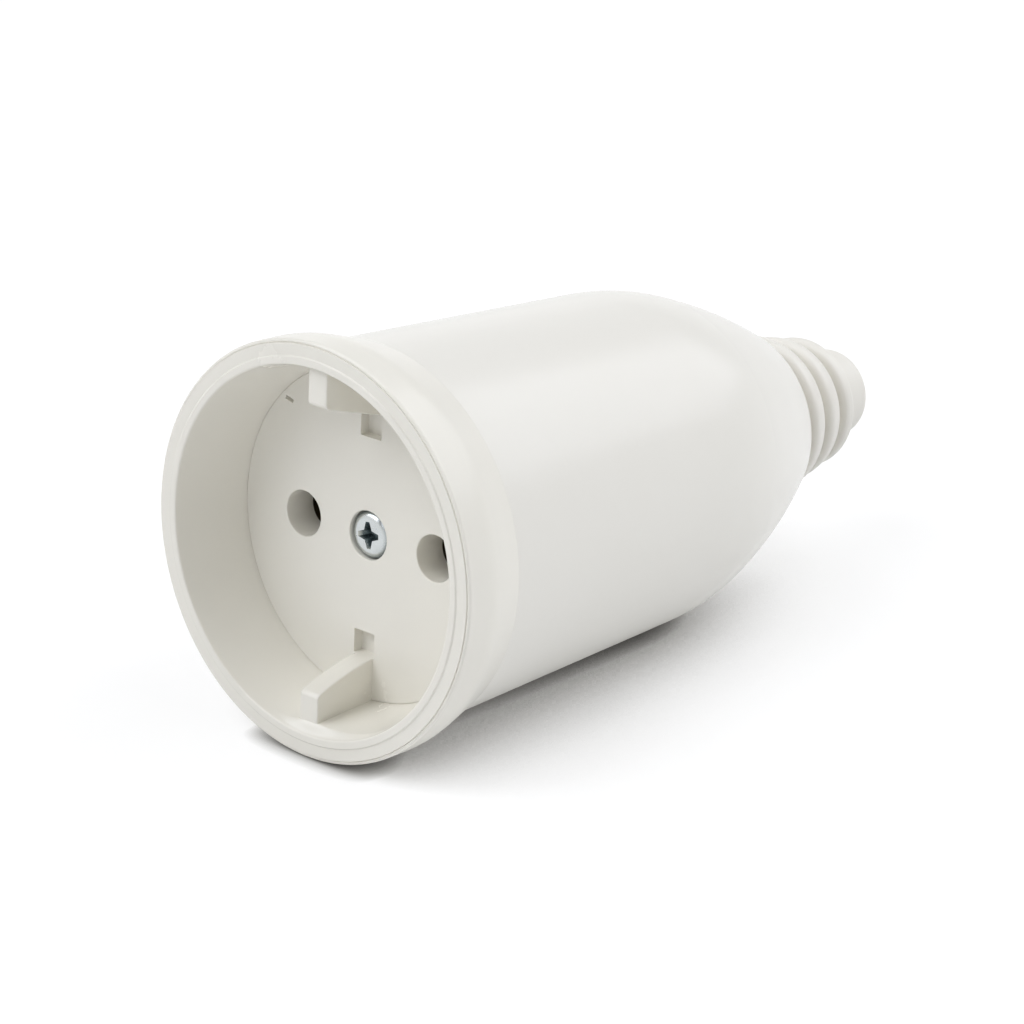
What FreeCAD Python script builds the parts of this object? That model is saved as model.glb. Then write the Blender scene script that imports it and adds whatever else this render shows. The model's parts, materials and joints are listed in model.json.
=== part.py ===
"""Two-pole inline socket connector for round-pin plugs, rewireable, as a parametric document.

The socket lies on its side. Its axis runs along +Y, with the mouth towards -Y, the two pin holes
side by side along X and the two fins above and below. Each piece is drawn in a frame of its own,
where Z runs along the axis from the front of the mouth and -Y points up, and its Placement
lays it down. Below the axis, as the socket lies, is +Y of that frame.
"""
import FreeCAD
import Part
import Sketcher
import math
import os

doc = FreeCAD.newDocument("inline_socket")
sheet = doc.addObject("Spreadsheet::Sheet", "sizes")


class Size:
    """A length that carries its number and the expression on the sheet that gives it."""

    def __init__(self, number, text):
        self.number = number
        self.text = text

    def __add__(self, other):
        other = as_size(other)
        return Size(self.number + other.number, f"({self.text} + {other.text})")

    def __sub__(self, other):
        other = as_size(other)
        return Size(self.number - other.number, f"({self.text} - {other.text})")

    def __mul__(self, other):
        other = as_size(other)
        return Size(self.number * other.number, f"({self.text} * {other.text})")

    def __truediv__(self, other):
        other = as_size(other)
        return Size(self.number / other.number, f"({self.text} / {other.text})")

    def __neg__(self):
        return Size(-self.number, f"(-{self.text})")


def as_size(value):
    return value if isinstance(value, Size) else Size(float(value), str(float(value)))


def size(alias, number):
    """Put one driving dimension, in millimetres, on the sheet."""
    size.row += 1
    sheet.set(f"A{size.row}", alias)
    sheet.set(f"B{size.row}", str(number))
    sheet.setAlias(f"B{size.row}", alias)
    return Size(number, f"sizes.{alias}")


size.row = 0
zero = as_size(0)


def bend(length, fall):
    """Radius of the arc that leaves a straight line and falls away from it over a length."""
    return (length * length + fall * fall) / (fall * 2)


# Rim and collar of the front moulding, from the mouth outwards and then back to the joint
mouth_radius = size("mouth_radius", 19.72)
lip_round = size("lip_round", 0.25)
lip_width = size("lip_width", 0.85)
lip_lean = size("lip_lean", 0.05)
rim_step = size("rim_step", 0.15)
band_width = size("band_width", 1.38)
edge_step = size("edge_step", 0.1)
collar_corner = size("collar_corner", 0.43)
collar_land = size("collar_land", 2.32)
crown_length = size("crown_length", 2.2)
crown_fall = size("crown_fall", 0.2975)
slope_length = size("slope_length", 3.88)
slope_fall = size("slope_fall", 1.0755)
joint_step = size("joint_step", 0.257)
lip_outer = mouth_radius + lip_width
rim_radius = lip_outer + band_width
collar_radius = rim_radius + collar_corner
edge_front = rim_step + edge_step
collar_front = edge_front + collar_corner
crown_front = collar_front + collar_land
slope_front = crown_front + crown_length
slope_radius = collar_radius - crown_fall
edge_radius = slope_radius - slope_fall
waist_radius = edge_radius - joint_step
joint = slope_front + slope_length

# Well: two round pins side by side, through a floor that lies level with the joint
pin_spacing = size("pin_spacing", 19.0)
pin_radius = size("pin_radius", 2.4)
pin_clearance = size("pin_clearance", 0.13)
well_draft = size("well_draft", 1.52)
floor_lead = size("floor_lead", 0.05)
floor_thickness = size("floor_thickness", 4.0)
half_spacing = pin_spacing / 2
pin_hole_radius = pin_radius + pin_clearance
floor_radius = mouth_radius - well_draft
floor_depth = joint - floor_lead
floor_back = floor_depth + floor_thickness

# Fins, the flat lands that they stand on and the blind slots at their inner ends
fin_width = size("fin_width", 2.6)
fin_front = size("fin_front", 0.95)
fin_front_rise = size("fin_front_rise", 4.27)
fin_floor_rise = size("fin_floor_rise", 4.8)
fin_bend = size("fin_bend", 30.0)
fin_bevel = size("fin_bevel", 0.35)
fin_root = size("fin_root", 0.5)
land_front = size("land_front", 0.3)
land_front_rise = size("land_front_rise", 1.22)
land_floor_rise = size("land_floor_rise", 0.15)
land_width = size("land_width", 13.2)
slot_width = size("slot_width", 2.95)
slot_height = size("slot_height", 2.7)
slot_depth = size("slot_depth", 1.2)
fin_floor_height = floor_radius - fin_floor_rise

# Cord sleeve, a soft ribbed nozzle that the tail holds by its flange, from its bore outwards
cord_bore = size("cord_bore", 3.5)
sleeve_wall = size("sleeve_wall", 4.0)
neck_rise = size("neck_rise", 1.35)
flange_lip = size("flange_lip", 1.35)
flange_thickness = size("flange_thickness", 2.0)
neck_reach = size("neck_reach", 2.1)
groove_length = size("groove_length", 1.32)
groove_taper = size("groove_taper", 0.3)
rib_pitch = size("rib_pitch", 4.35)
rib_thickness = size("rib_thickness", 2.6)
last_rib_cut = size("last_rib_cut", 0.9)
rib_height = size("rib_height", 1.7)
rib_step = size("rib_step", 0.95)
rib_crown = size("rib_crown", 0.5)
nozzle_wall = size("nozzle_wall", 2.0)
nozzle_length = size("nozzle_length", 6.68)
nozzle_round = size("nozzle_round", 1.6)
rib_count = 3
groove_radius = cord_bore + sleeve_wall
neck_radius = groove_radius + neck_rise
flange_radius = neck_radius + flange_lip
nozzle_radius = cord_bore + nozzle_wall

# Rear body, a bullet-shaped shell from the joint to the sleeve
fit_gap = size("fit_gap", 0.15)
spigot_wall = size("spigot_wall", 0.2)
spigot_draft = size("spigot_draft", 0.2)
wall = size("wall", 2.2)
barrel_length = size("barrel_length", 38.4)
barrel_fall = size("barrel_fall", 1.25)
shoulder_length = size("shoulder_length", 8.7)
shoulder_fall = size("shoulder_fall", 1.45)
shoulder_bend = size("shoulder_bend", 33.6)
taper_length = size("taper_length", 15.6)
taper_bend = size("taper_bend", 88.0)
tail_land = size("tail_land", 2.9)
tail_round = size("tail_round", 0.6)
tail_wall = size("tail_wall", 2.6)
spigot_radius = floor_radius + spigot_wall
front_bore = spigot_radius + fit_gap
shoulder = joint + barrel_length
shoulder_radius = waist_radius - barrel_fall
taper = shoulder + shoulder_length
taper_radius = shoulder_radius - shoulder_fall
tail = taper + taper_length
sleeve_hole_radius = neck_radius + fit_gap
tail_radius = sleeve_hole_radius + tail_land
tail_bore = tail_radius - tail_round / 2
sleeve_seat = tail - tail_wall
neck_end = tail + neck_reach
rib_front = neck_end + groove_length
nozzle_front = rib_front + rib_pitch * (rib_count - 1) + rib_thickness - last_rib_cut + groove_taper
sleeve_end = nozzle_front + nozzle_length

# Centre screw, and the pillar and bridge that it draws together
screw_radius = size("screw_radius", 1.5)
screw_clearance = size("screw_clearance", 0.2)
close_gap = size("close_gap", 0.03)
head_lip = size("head_lip", 1.05)
head_height = size("head_height", 1.9)
head_dome = size("head_dome", 0.45)
head_clearance = size("head_clearance", 0.12)
head_setback = size("head_setback", 0.05)
cross_length = size("cross_length", 3.3)
cross_width = size("cross_width", 0.8)
cross_depth = size("cross_depth", 1.3)
pillar_wall = size("pillar_wall", 1.9)
pillar_length = size("pillar_length", 15.6)
bridge_length = size("bridge_length", 6.2)
boss_wall = size("boss_wall", 0.7)
bridge_rib = size("bridge_rib", 3.0)
nut_wall = size("nut_wall", 1.25)
nut_height = size("nut_height", 2.4)
screw_hole_radius = screw_radius + screw_clearance
head_radius = screw_radius + head_lip
recess_radius = head_radius + head_clearance
recess_depth = head_height + head_setback
pillar_radius = screw_hole_radius + pillar_wall
pillar_end = floor_back + pillar_length
bridge_front = pillar_end + fit_gap
bridge_back = bridge_front + bridge_length
nut_flats = (screw_radius + nut_wall) * 2
boss_radius = (nut_flats + fit_gap) / math.sqrt(3.0) + boss_wall
rib_reach = (waist_radius + shoulder_radius - wall) / 2

# Contacts, in towers behind the pin holes
tube_clearance = size("tube_clearance", 0.1)
tube_wall = size("tube_wall", 0.6)
tube_lead = size("tube_lead", 1.3)
tube_slit = size("tube_slit", 0.8)
tube_slit_length = size("tube_slit_length", 9.0)
clip_lead = size("clip_lead", 2.2)
clip_length = size("clip_length", 4.0)
clip_thickness = size("clip_thickness", 0.4)
clip_opening = size("clip_opening", 1.6)
clip_gap = size("clip_gap", 0.25)
tower_wall = size("tower_wall", 0.95)
tower_length = size("tower_length", 14.0)
block_lip = size("block_lip", 0.5)
block_height = size("block_height", 7.8)
block_length = size("block_length", 7.0)
plate_lip = size("plate_lip", 0.2)
plate_thickness = size("plate_thickness", 0.8)
terminal_head_radius = size("terminal_head_radius", 2.8)
terminal_head_height = size("terminal_head_height", 1.8)
terminal_reach = size("terminal_reach", 2.5)
driver_slot = size("driver_slot", 0.8)
driver_slot_depth = size("driver_slot_depth", 0.9)
tube_bore = pin_radius + tube_clearance
tube_radius = tube_bore + tube_wall
tube_front = floor_back + tube_lead
clip_front = tube_front + clip_lead
clip_radius = tube_radius + clip_thickness
tower_bore = clip_radius + clip_gap
tower_radius = tower_bore + tower_wall
tower_end = floor_back + tower_length
block_width = (tube_radius + block_lip) * 2
block_middle = tower_end + block_length / 2
plate_side = (terminal_head_radius + plate_lip) * 2

# Cord clamp, on an arm that reaches back from the front moulding below the axis
arm_gap = size("arm_gap", 0.45)
arm_thickness = size("arm_thickness", 3.35)
arm_width = size("arm_width", 10.0)
seat_length = size("seat_length", 7.5)
seat_lead = size("seat_lead", 3.5)
cord_groove = size("cord_groove", 2.4)
arch_wall = size("arch_wall", 1.5)
bar_thickness = size("bar_thickness", 2.2)
bar_length = size("bar_length", 6.0)
bar_end = size("bar_end", 0.9)
clamp_screw_radius = size("clamp_screw_radius", 1.4)
clamp_head_radius = size("clamp_head_radius", 2.3)
clamp_head_height = size("clamp_head_height", 1.6)
clamp_head_gap = size("clamp_head_gap", 0.8)
arm_top = boss_radius + arm_gap
arm_seat = arm_top + arm_thickness
seat_front = shoulder - seat_lead
seat_middle = seat_front + seat_length / 2
bar_arch = cord_groove + arch_wall
clamp_screw_place = bar_arch + clamp_head_gap + clamp_head_radius
seat_half_width = clamp_screw_place + clamp_head_radius + bar_end

doc.recompute()


def new_body(label):
    """A piece, laid down so that its Z runs along +Y and the collar touches the ground."""
    body = doc.addObject("PartDesign::Body", label)
    body.Label = label
    body.Placement.Rotation = FreeCAD.Rotation(FreeCAD.Vector(1, 0, 0), -90)
    body.setExpression("Placement.Base.y", (-sleeve_end / 2).text)
    body.setExpression("Placement.Base.z", collar_radius.text)
    return body


def new_sketch(body, name, plane, offset=zero):
    """A sketch on one of the body's own planes, moved along that plane's normal."""
    sketch = body.newObject("Sketcher::SketchObject", f"{body.Name}_{name}")
    support = [item for item in body.Origin.OriginFeatures if item.Role == f"{plane}_Plane"][0]
    sketch.AttachmentSupport = (support, [""])
    sketch.MapMode = "FlatFace"
    sketch.setExpression("AttachmentOffset.Base.z", offset.text)
    return sketch


def bind(sketch, kind, first, second, value):
    """Hold one coordinate of a point, measured from the origin or from another point."""
    if abs(value.number) < 1e-9 and first == (-1, 1):
        sketch.addConstraint(Sketcher.Constraint("PointOnObject", *second, -2 if kind == "DistanceX" else -1))
        return
    if value.number < 0:
        first, second, value = second, first, -value
    index = sketch.addConstraint(Sketcher.Constraint(kind, *first, *second, value.number))
    sketch.setExpression(f"Constraints[{index}]", value.text)


def arc_between(start, end, radius):
    """The short arc from start to end, turning left for a positive radius and right for a negative."""
    chord = end - start
    middle = (start + end) * 0.5
    left = FreeCAD.Vector(-chord.y, chord.x, 0).normalize()
    height = math.sqrt(radius * radius - chord.Length ** 2 / 4)
    centre = middle + left * (height if radius > 0 else -height)
    first, last = (start, end) if radius > 0 else (end, start)
    from_angle = math.atan2(first.y - centre.y, first.x - centre.x)
    to_angle = math.atan2(last.y - centre.y, last.x - centre.x)
    circle = Part.Circle(centre, FreeCAD.Vector(0, 0, 1), abs(radius))
    return Part.ArcOfCircle(circle, from_angle, to_angle)


def outline(sketch, corners):
    """A closed outline. A corner is (x, y), or (x, y, radius) where an arc leads to the next one."""
    corners = [tuple(as_size(value) for value in corner) for corner in corners]
    points = [FreeCAD.Vector(corner[0].number, corner[1].number, 0) for corner in corners]
    edges = []
    for index, corner in enumerate(corners):
        start = points[index]
        end = points[(index + 1) % len(points)]
        if len(corner) == 2:
            edges.append((sketch.addGeometry(Part.LineSegment(start, end)), 1, 2))
        else:
            radius = corner[2]
            edge = sketch.addGeometry(arc_between(start, end, radius.number))
            ends = (1, 2) if radius.number > 0 else (2, 1)
            edges.append((edge, *ends))
            length = sketch.addConstraint(Sketcher.Constraint("Radius", edge, abs(radius.number)))
            sketch.setExpression(f"Constraints[{length}]", (radius if radius.number > 0 else -radius).text)
    for index, (edge, start, end) in enumerate(edges):
        following, following_start, following_end = edges[(index + 1) % len(edges)]
        sketch.addConstraint(Sketcher.Constraint("Coincident", edge, end, following, following_start))
        bind(sketch, "DistanceX", (-1, 1), (edge, start), corners[index][0])
        bind(sketch, "DistanceY", (-1, 1), (edge, start), corners[index][1])


def disc(sketch, x, y, radius):
    """A full circle."""
    place = FreeCAD.Vector(x.number, y.number, 0)
    edge = sketch.addGeometry(Part.Circle(place, FreeCAD.Vector(0, 0, 1), radius.number))
    index = sketch.addConstraint(Sketcher.Constraint("Radius", edge, radius.number))
    sketch.setExpression(f"Constraints[{index}]", radius.text)
    bind(sketch, "DistanceX", (-1, 1), (edge, 3), x)
    bind(sketch, "DistanceY", (-1, 1), (edge, 3), y)


def rectangle(sketch, left, right, bottom, top):
    outline(sketch, [(left, bottom), (right, bottom), (right, top), (left, top)])


def check_change(body, feature, grows):
    """Stop where a feature added or cut nothing."""
    before = feature.BaseFeature.Shape.Volume if feature.BaseFeature else 0.0
    doc.recompute()
    change = feature.Shape.Volume - before
    if (change <= 0.0) == grows:
        raise RuntimeError(f"{body.Label}: {feature.Name} changed the volume by {change:.3f}")


def revolve(body, name, corners):
    """Turn a half section, drawn as (radius, distance along the axis), about the body's axis."""
    sketch = new_sketch(body, f"{name}_section", "XZ")
    outline(sketch, corners)
    feature = body.newObject("PartDesign::Revolution", f"{body.Name}_{name}")
    feature.Profile = sketch
    feature.ReferenceAxis = (sketch, ["V_Axis"])
    feature.Angle = 360
    check_change(body, feature, True)
    return feature


def pad(body, name, sketch, length, forward=True, midplane=False):
    """Raise a sketch along its normal, forward, or against it, or half each way."""
    feature = body.newObject("PartDesign::Pad", f"{body.Name}_{name}")
    feature.Profile = sketch
    feature.SideType = "Symmetric" if midplane else "One side"
    feature.Reversed = not forward
    feature.setExpression("Length", length.text)
    check_change(body, feature, True)
    return feature


def pocket(body, name, sketch, length, forward=True):
    """Cut along the sketch's normal, forward, or against it."""
    feature = body.newObject("PartDesign::Pocket", f"{body.Name}_{name}")
    feature.Profile = sketch
    feature.Reversed = forward
    feature.setExpression("Length", length.text)
    check_change(body, feature, False)
    return feature


def mirror(body, name, features, plane):
    """Repeat features on the other side of one of the body's planes."""
    feature = body.newObject("PartDesign::Mirrored", f"{body.Name}_{name}")
    feature.Originals = features
    support = [item for item in body.Origin.OriginFeatures if item.Role == f"{plane}_Plane"][0]
    feature.MirrorPlane = (support, [""])
    body.Tip = feature
    doc.recompute()
    return feature


def front_socket():
    """Front moulding: rim, collar, well with two fins, floor, contact towers, pillar and clamp arm."""
    body = new_body("front_socket")
    revolve(body, "shell", [
        (zero, floor_depth),
        (floor_radius, floor_depth),
        (mouth_radius, lip_round, lip_round),
        (mouth_radius + lip_round, zero),
        (lip_outer, zero),
        (lip_outer + lip_lean, rim_step),
        (rim_radius, rim_step),
        (rim_radius, edge_front, collar_corner),
        (collar_radius, collar_front),
        (collar_radius, crown_front, bend(crown_length, crown_fall)),
        (slope_radius, slope_front),
        (edge_radius, joint),
        (spigot_radius, joint),
        (spigot_radius - spigot_draft, floor_back),
        (zero, floor_back),
    ])

    land = new_sketch(body, "land_section", "YZ")
    outline(land, [
        (mouth_radius - land_front_rise, fin_front),
        (mouth_radius, land_front),
        (mouth_radius + fin_root, land_front),
        (floor_radius + fin_root, floor_depth),
        (floor_radius - land_floor_rise, floor_depth),
    ])
    land_pad = pad(body, "land", land, land_width, midplane=True)
    fin = new_sketch(body, "fin_section", "YZ")
    fin_front_height = mouth_radius - fin_front_rise
    outline(fin, [
        (mouth_radius, fin_front),
        (floor_radius, floor_depth),
        (fin_floor_height, floor_depth, fin_bend),
        (fin_front_height, fin_front + fin_bevel),
        (fin_front_height + fin_bevel, fin_front),
    ])
    fin_pad = pad(body, "fin", fin, fin_width, midplane=True)
    mirror(body, "fins", [land_pad, fin_pad], "XZ")

    slot = new_sketch(body, "slot", "XY", floor_depth)
    slot_inner = fin_floor_height - slot_height
    for inner, outer in ((slot_inner, fin_floor_height), (-fin_floor_height, -slot_inner)):
        rectangle(slot, -slot_width / 2, slot_width / 2, inner, outer)
    pocket(body, "slots", slot, slot_depth)

    towers = new_sketch(body, "tower_discs", "XY", floor_back)
    bores = new_sketch(body, "tower_bores", "XY", floor_back)
    pins = new_sketch(body, "pin_discs", "XY", floor_depth)
    for x in (-half_spacing, half_spacing):
        disc(towers, x, zero, tower_radius)
        disc(bores, x, zero, tower_bore)
        disc(pins, x, zero, pin_hole_radius)
    pad(body, "towers", towers, tower_length)
    pillar = new_sketch(body, "pillar_disc", "XY", floor_back)
    disc(pillar, zero, zero, pillar_radius)
    pad(body, "pillar", pillar, pillar_length)
    arm = new_sketch(body, "arm_section", "XY", floor_back)
    rectangle(arm, -arm_width / 2, arm_width / 2, arm_top, arm_seat)
    pad(body, "arm", arm, seat_front + seat_length - floor_back)
    seat = new_sketch(body, "seat_section", "XY", seat_front)
    rectangle(seat, -seat_half_width, seat_half_width, arm_top, arm_seat)
    pad(body, "seat", seat, seat_length)

    pocket(body, "chambers", bores, tower_length)
    pocket(body, "pin_holes", pins, floor_thickness)
    recess = new_sketch(body, "recess_disc", "XY", floor_depth)
    disc(recess, zero, zero, recess_radius)
    pocket(body, "screw_recess", recess, recess_depth)
    screw_hole = new_sketch(body, "screw_hole_disc", "XY", floor_depth)
    disc(screw_hole, zero, zero, screw_hole_radius)
    pocket(body, "screw_hole", screw_hole, floor_thickness + pillar_length)
    groove = new_sketch(body, "cord_groove_disc", "XY", seat_front)
    disc(groove, zero, arm_seat, cord_groove)
    pocket(body, "cord_groove", groove, seat_length)
    pilots = new_sketch(body, "pilot_discs", "XZ", -arm_seat)
    for x in (-clamp_screw_place, clamp_screw_place):
        disc(pilots, x, seat_middle, clamp_screw_radius + close_gap)
    pocket(body, "pilots", pilots, arm_thickness)
    return body


def rear_body():
    """Bullet-shaped shell with a bridge inside that carries the captive nut."""
    body = new_body("rear_body")
    revolve(body, "shell", [
        (front_bore, joint),
        (waist_radius, joint),
        (shoulder_radius, shoulder, shoulder_bend),
        (taper_radius, taper, taper_bend),
        (tail_radius, tail - tail_round, tail_round),
        (tail_radius - tail_round, tail),
        (sleeve_hole_radius, tail),
        (sleeve_hole_radius, sleeve_seat),
        (tail_bore, sleeve_seat, wall - taper_bend),
        (taper_radius - wall, taper - wall / 2, wall - shoulder_bend),
        (shoulder_radius - wall, shoulder),
    ])
    rib = new_sketch(body, "rib_section", "XY", bridge_front)
    rectangle(rib, -bridge_rib / 2, bridge_rib / 2, -rib_reach, zero)
    pad(body, "rib", rib, bridge_length)
    boss = new_sketch(body, "boss_disc", "XY", bridge_front)
    disc(boss, zero, zero, boss_radius)
    pad(body, "boss", boss, bridge_length)
    screw_hole = new_sketch(body, "screw_hole_disc", "XY", bridge_front)
    disc(screw_hole, zero, zero, screw_hole_radius)
    pocket(body, "screw_hole", screw_hole, bridge_length)
    nut_seat = new_sketch(body, "nut_seat_section", "XY", bridge_back)
    hexagon(nut_seat, nut_flats + fit_gap)
    pocket(body, "nut_seat", nut_seat, nut_height, forward=False)
    return body


def hexagon(sketch, flats):
    """A regular hexagon about the axis, with two flats upright."""
    half = flats / 2
    corner = flats / math.sqrt(3.0)
    outline(sketch, [
        (half, -corner / 2), (half, corner / 2), (zero, corner),
        (-half, corner / 2), (-half, -corner / 2), (zero, -corner),
    ])


def cord_sleeve():
    """Soft bend sleeve: flange inside the tail, ribs that grow smaller and a rounded nozzle."""
    body = new_body("cord_sleeve")
    corners = [
        (cord_bore, sleeve_seat - flange_thickness),
        (flange_radius, sleeve_seat - flange_thickness),
        (flange_radius, sleeve_seat),
        (neck_radius, sleeve_seat),
        (neck_radius, neck_end),
        (groove_radius, neck_end + groove_taper),
    ]
    for number in range(rib_count):
        last = number == rib_count - 1
        thickness = rib_thickness - last_rib_cut if last else rib_thickness
        front = rib_front + rib_pitch * number
        back = front + thickness
        foot = groove_radius - rib_step * number
        flank = foot + rib_height
        behind = nozzle_radius if last else foot - rib_step
        crest = bend((thickness - groove_taper) / 2, rib_crown)
        corners += [
            (foot, front),
            (flank, front + groove_taper, crest),
            (flank, back),
            (behind, back + groove_taper),
        ]
    corners += [
        (nozzle_radius, sleeve_end - nozzle_round, nozzle_round),
        (nozzle_radius - nozzle_round, sleeve_end),
        (cord_bore, sleeve_end),
    ]
    revolve(body, "section", corners)
    return body


def centre_screw():
    """Cross-recess pan-head screw that draws the front moulding to the rear body."""
    body = new_body("centre_screw")
    seat = floor_depth + recess_depth
    top = seat - head_height
    tip = bridge_back + screw_radius
    revolve(body, "turned", [
        (zero, top),
        (head_radius - head_dome, top, head_dome),
        (head_radius, top + head_dome),
        (head_radius, seat),
        (screw_radius, seat),
        (screw_radius, tip - screw_radius / 2),
        (screw_radius / 2, tip),
        (zero, tip),
    ])
    cross = new_sketch(body, "cross_section", "XY", top)
    arm = cross_length / 2
    half = cross_width / 2
    outline(cross, [
        (arm, -half), (arm, half), (half, half), (half, arm), (-half, arm), (-half, half),
        (-arm, half), (-arm, -half), (-half, -half), (-half, -arm), (half, -arm), (half, -half),
    ])
    pocket(body, "cross", cross, cross_depth)
    return body


def centre_nut():
    """Hexagon nut held in the bridge's pocket."""
    body = new_body("centre_nut")
    section = new_sketch(body, "section", "XY", bridge_back - nut_height)
    hexagon(section, nut_flats)
    pad(body, "prism", section, nut_height)
    bore = new_sketch(body, "bore_disc", "XY", bridge_back - nut_height)
    disc(bore, zero, zero, screw_radius + close_gap)
    pocket(body, "bore", bore, nut_height)
    return body


def contact(side, x):
    """Brass receptacle: a slit tube for the pin and a terminal block on its end."""
    body = new_body(f"contact_{side}")
    tube = new_sketch(body, "tube_disc", "XY", tube_front)
    disc(tube, x, zero, tube_radius)
    pad(body, "tube", tube, tower_end - tube_front)
    block = new_sketch(body, "block_section", "XY", tower_end)
    rectangle(block, x - block_width / 2, x + block_width / 2, -block_height / 2, block_height / 2)
    pad(body, "block", block, block_length)
    bore = new_sketch(body, "bore_disc", "XY", tube_front)
    disc(bore, x, zero, tube_bore)
    pocket(body, "bore", bore, tower_end - tube_front)
    slit = new_sketch(body, "slit_section", "XY", tube_front)
    rectangle(slit, x - tube_slit / 2, x + tube_slit / 2, -clip_radius, clip_radius)
    pocket(body, "slits", slit, tube_slit_length)
    tapping = new_sketch(body, "tapping_disc", "XZ", block_height / 2)
    disc(tapping, x, block_middle, screw_radius + close_gap)
    pocket(body, "tapping", tapping, block_height, forward=False)
    return body


def contact_clip(side, x):
    """Spring steel ring, open on one side, that closes the slit tube on the pin."""
    body = new_body(f"contact_clip_{side}")
    ring = new_sketch(body, "ring_discs", "XY", clip_front)
    disc(ring, x, zero, clip_radius)
    disc(ring, x, zero, tube_radius + close_gap)
    pad(body, "ring", ring, clip_length)
    opening = new_sketch(body, "opening_section", "XY", clip_front)
    rectangle(opening, x - clip_opening / 2, x + clip_opening / 2, zero, tower_bore)
    pocket(body, "opening", opening, clip_length)
    return body


def terminal_plate(side, x):
    """Square pressure plate that the terminal screw brings down on the wire."""
    body = new_body(f"terminal_plate_{side}")
    half = plate_side / 2
    plate = new_sketch(body, "plate_section", "XZ", block_height / 2)
    rectangle(plate, x - half, x + half, block_middle - half, block_middle + half)
    pad(body, "plate", plate, plate_thickness)
    hole = new_sketch(body, "hole_disc", "XZ", block_height / 2)
    disc(hole, x, block_middle, screw_hole_radius)
    pocket(body, "hole", hole, plate_thickness)
    return body


def slotted_screw(body, x, place, seat, reach, radius, height, shank_radius, above):
    """Cheese-head screw square to the axis, with its head above or below it."""
    side = 1 if above else -1
    head = new_sketch(body, "head_disc", "XZ", seat * side)
    disc(head, x, place, radius)
    pad(body, "head", head, height, forward=above)
    shank = new_sketch(body, "shank_disc", "XZ", seat * side)
    disc(shank, x, place, shank_radius)
    pad(body, "shank", shank, reach, forward=not above)
    slot = new_sketch(body, "slot_section", "XZ", (seat + height) * side)
    past_head = radius + driver_slot
    rectangle(slot, x - driver_slot / 2, x + driver_slot / 2, place - past_head, place + past_head)
    pocket(body, "driver_slot", slot, driver_slot_depth, forward=not above)
    return body


def terminal_screw(side, x):
    """Terminal screw, its head up, through the plate into the contact's block."""
    body = new_body(f"terminal_screw_{side}")
    seat = block_height / 2 + plate_thickness
    return slotted_screw(body, x, block_middle, seat, seat + terminal_reach, terminal_head_radius,
                         terminal_head_height, screw_radius, above=True)


def cord_clamp():
    """Clamp bar with an arch over the cord, drawn up against the arm's seat."""
    body = new_body("cord_clamp")
    front = seat_middle - bar_length / 2
    bar = new_sketch(body, "bar_section", "XY", front)
    rectangle(bar, -seat_half_width, seat_half_width, arm_seat, arm_seat + bar_thickness)
    pad(body, "bar", bar, bar_length)
    arch = new_sketch(body, "arch_section", "XY", front)
    outline(arch, [
        (-bar_arch, arm_seat),
        (bar_arch, arm_seat, bar_arch),
        (zero, arm_seat + bar_arch, bar_arch),
    ])
    pad(body, "arch", arch, bar_length)
    groove = new_sketch(body, "groove_disc", "XY", front)
    disc(groove, zero, arm_seat, cord_groove)
    pocket(body, "groove", groove, bar_length)
    holes = new_sketch(body, "hole_discs", "XZ", -arm_seat)
    for x in (-clamp_screw_place, clamp_screw_place):
        disc(holes, x, seat_middle, clamp_screw_radius + fit_gap)
    pocket(body, "holes", holes, bar_thickness, forward=False)
    return body


def clamp_screw(side, x):
    """Clamp screw, its head down, through the bar into the arm."""
    body = new_body(f"clamp_screw_{side}")
    seat = arm_seat + bar_thickness
    return slotted_screw(body, x, seat_middle, seat, bar_thickness + arm_thickness, clamp_head_radius,
                         clamp_head_height, clamp_screw_radius, above=False)


pieces = [front_socket(), rear_body(), cord_sleeve(), centre_screw(), centre_nut(), cord_clamp()]
for side_name, side_sign in (("left", -1), ("right", 1)):
    pin_place = half_spacing * side_sign
    pieces.append(contact(side_name, pin_place))
    pieces.append(contact_clip(side_name, pin_place))
    pieces.append(terminal_plate(side_name, pin_place))
    pieces.append(terminal_screw(side_name, pin_place))
    pieces.append(clamp_screw(side_name, clamp_screw_place * side_sign))

doc.recompute()
for item in doc.Objects:
    if "Invalid" in item.State or "Error" in item.State:
        raise RuntimeError(f"{item.Name} failed: {item.State}")
for piece in pieces:
    shape = piece.Shape
    if shape.isNull() or not shape.isValid() or len(shape.Solids) != 1:
        raise RuntimeError(f"{piece.Label} is not one valid solid")

os.makedirs("parts", exist_ok=True)
for piece in pieces:
    piece.Shape.exportStep(f"parts/{piece.Label}.step")
    box = piece.Shape.optimalBoundingBox()
    print(f"{piece.Label}: {piece.Shape.Volume:.1f} mm3,"
          f" x {box.XMin:.2f} {box.XMax:.2f}, y {box.YMin:.2f} {box.YMax:.2f}, z {box.ZMin:.2f} {box.ZMax:.2f}")
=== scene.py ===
import bmesh
import bpy
import json
import math
from mathutils import Matrix, Vector

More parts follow.
